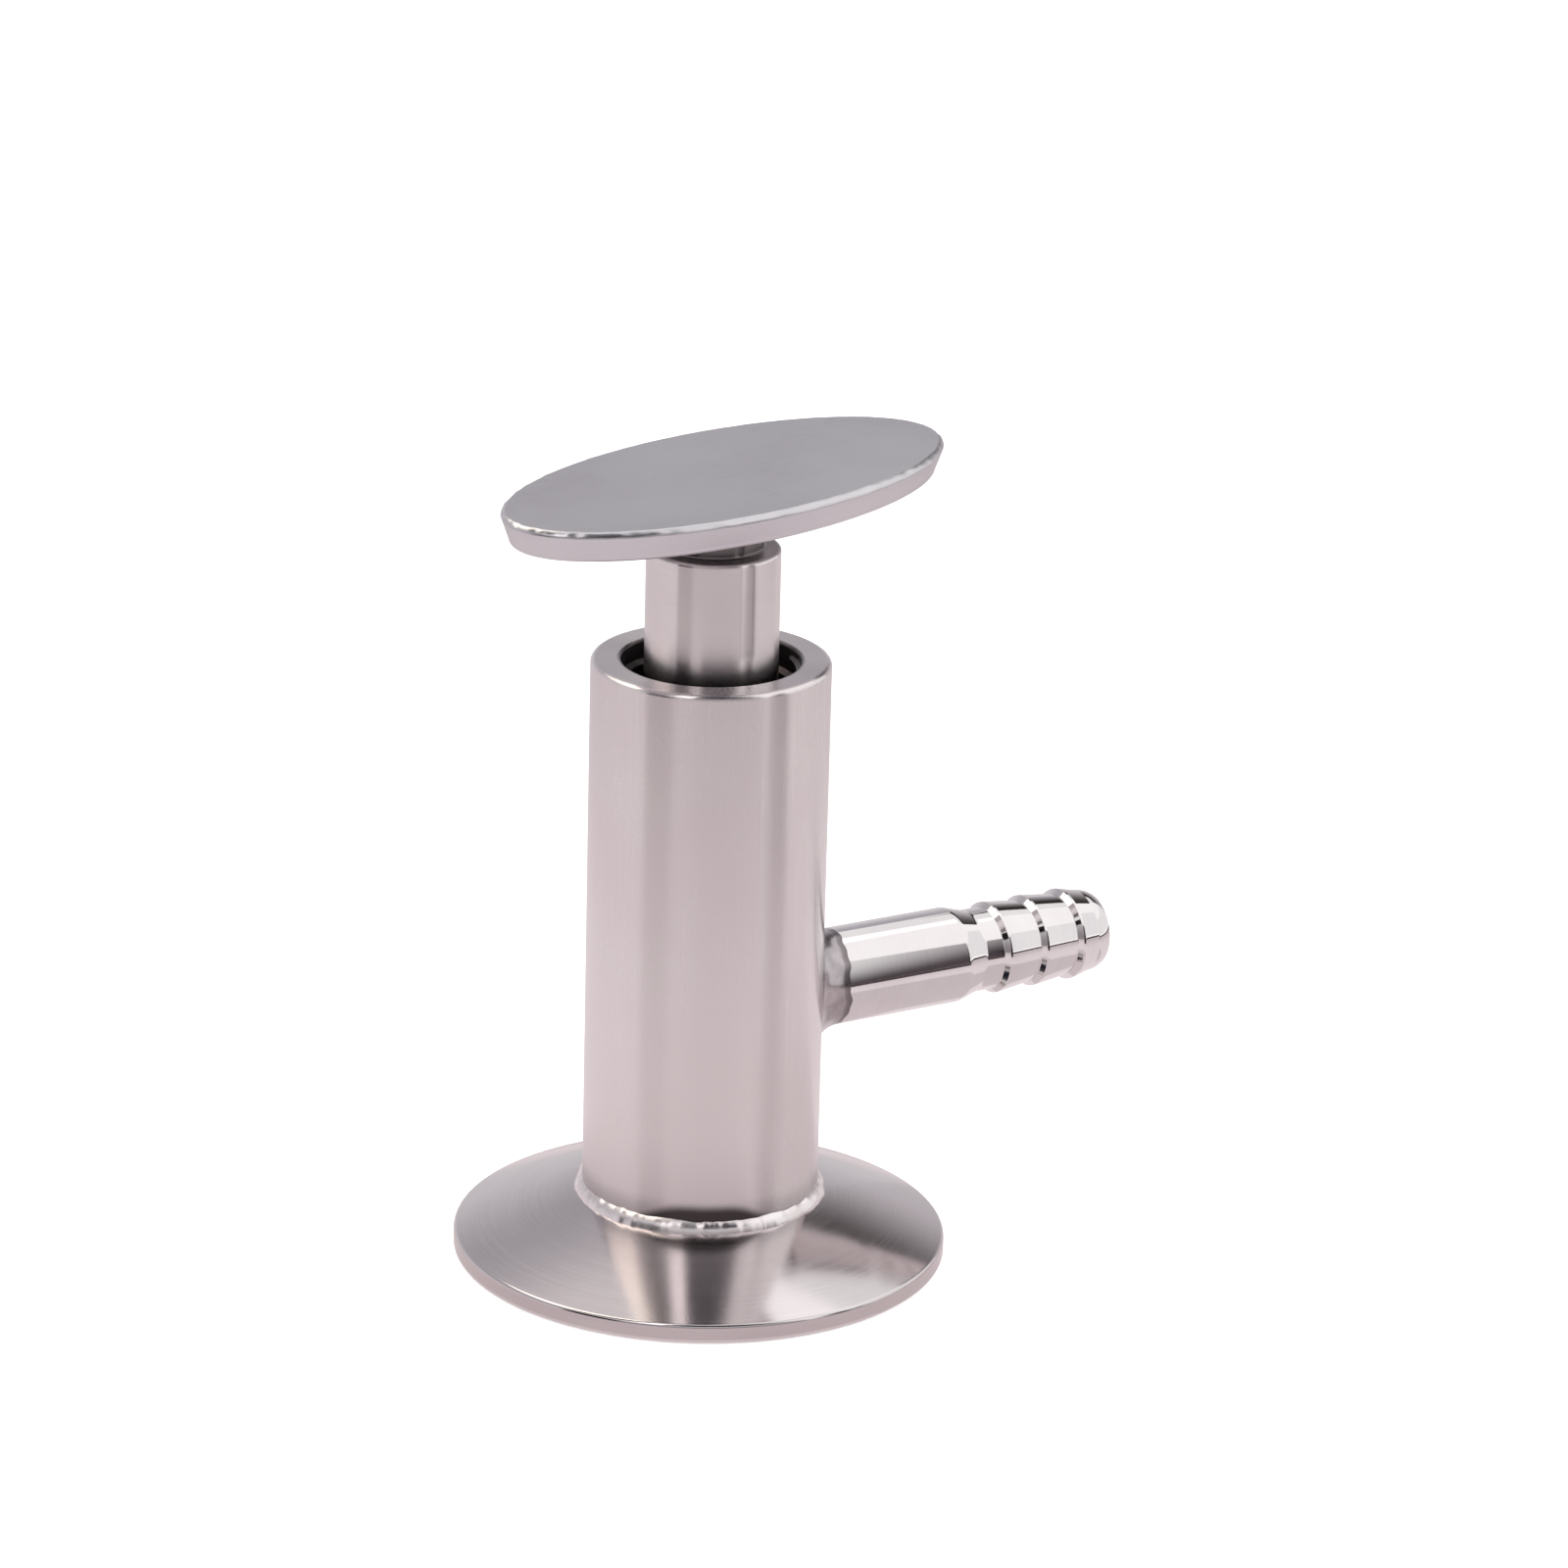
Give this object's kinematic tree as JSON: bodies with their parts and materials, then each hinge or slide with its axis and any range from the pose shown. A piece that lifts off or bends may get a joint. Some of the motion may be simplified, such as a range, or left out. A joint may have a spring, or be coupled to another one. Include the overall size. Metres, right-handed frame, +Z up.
{
  "type": "sanitary sampling valve",
  "caption": "Hygienic sampling valve: clamp ferrule with a seat, upright tube body, side hose barb and a rising threaded stem turned by a flat oval handle.",
  "frame": {"origin": "centre of the ferrule's clamp face, on the valve's axis", "axes": "+Z up the valve's axis from the clamp face to the handle; +X along the hose tail, away from the body"},
  "size_m": [0.0724, 0.0506, 0.0826],
  "materials": {
    "turned_steel": "fine turned stainless steel, half mirror",
    "satin_steel": "satin stainless steel",
    "stem_steel": "smooth satin stainless steel",
    "handle_steel": "fine satin stainless steel with rounded edges",
    "polished_steel": "mirror polished stainless steel",
    "weld_steel": "bright weld bead",
    "spring_steel": "drawn stainless spring wire",
    "black_elastomer": "black EPDM rubber",
    "white_ptfe": "white PTFE"
  },
  "bodies": {
    "housing": {"clamp_ferrule": "turned_steel", "valve_body": "satin_steel", "ferrule_weld": "weld_steel", "hose_tail": "polished_steel", "outlet_weld": "weld_steel"},
    "plug": {"plug_holder": "turned_steel", "seat_seal": "white_ptfe", "seal_washer": "turned_steel", "seal_screw": "turned_steel", "swivel_ring": "spring_steel"},
    "spindle": {"stem": "stem_steel", "handle_plate": "handle_steel", "handle_weld": "weld_steel", "lower_oring": "black_elastomer", "upper_oring": "black_elastomer", "guide_band": "white_ptfe"}
  },
  "joints": [
    {"name": "stem_lift", "type": "slide", "parent": "housing", "child": "plug", "axis": [0, 0, 1], "range_m": [0, 0.004]},
    {"name": "handle_turn", "type": "hinge", "parent": "plug", "child": "spindle", "pos_m": [0, 0, 0.05], "axis": [0, 0, 1], "range_deg": [0, 720]}
  ],
  "couplings": [
    {"joint": "stem_lift", "follows": "handle_turn", "m_per_rad": 0.00031831}
  ]
}
